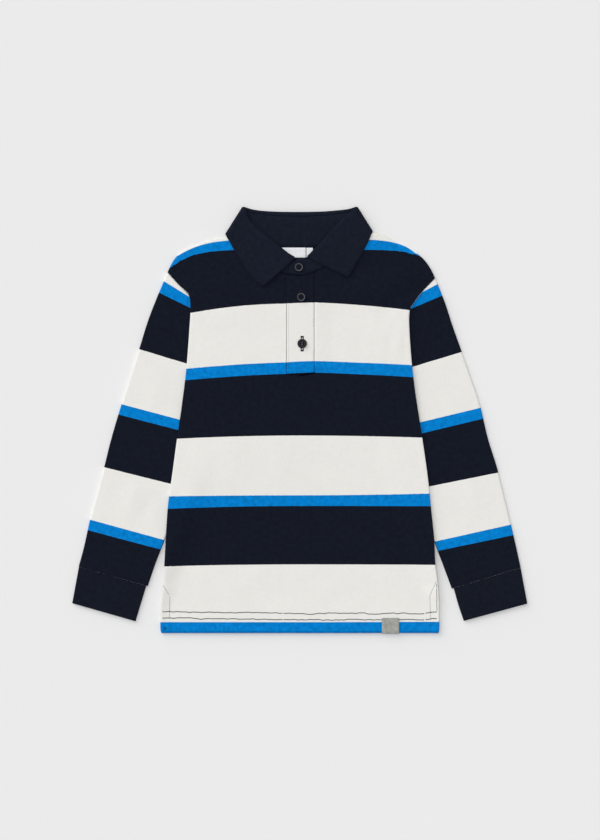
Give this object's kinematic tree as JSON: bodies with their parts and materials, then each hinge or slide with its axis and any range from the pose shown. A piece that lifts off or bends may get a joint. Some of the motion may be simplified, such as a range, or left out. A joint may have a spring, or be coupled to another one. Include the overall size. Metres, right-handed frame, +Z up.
{
  "type": "long-sleeved polo shirt",
  "caption": "Child's long-sleeved polo shirt in broad navy, blue and white stripes, laid flat with the front up and the sleeves angled down.",
  "frame": {"origin": "centre of the shirt's outline on the surface it lies on", "axes": "+X across the chest, to the right as seen from above; +Y up the body from the hem to the collar; +Z up, away from the surface"},
  "size_m": [0.5458, 0.5116, 0.0133],
  "materials": {
    "striped_jersey": "matt knitted cotton in broad navy, blue and cream stripes",
    "navy_jersey": "matt ribbed navy cotton",
    "navy_twill": "matt navy cotton twill",
    "button_plastic": "satin navy with a paler rim",
    "white_satin": "white satin weave, bare",
    "grey_tape": "grey woven tape, bare"
  },
  "bodies": {
    "root": {"front": "striped_jersey", "back": "striped_jersey", "sleeve_left": "striped_jersey", "sleeve_right": "striped_jersey", "cuff_left": "navy_jersey", "cuff_right": "navy_jersey", "collar_leaf": "navy_twill", "collar_stand": "navy_twill", "placket_top": "striped_jersey", "placket_under": "striped_jersey", "button_1": "button_plastic", "button_2": "button_plastic", "button_3": "button_plastic", "neck_label": "white_satin", "size_tab": "white_satin", "hem_tab": "grey_tape"}
  },
  "joints": []
}
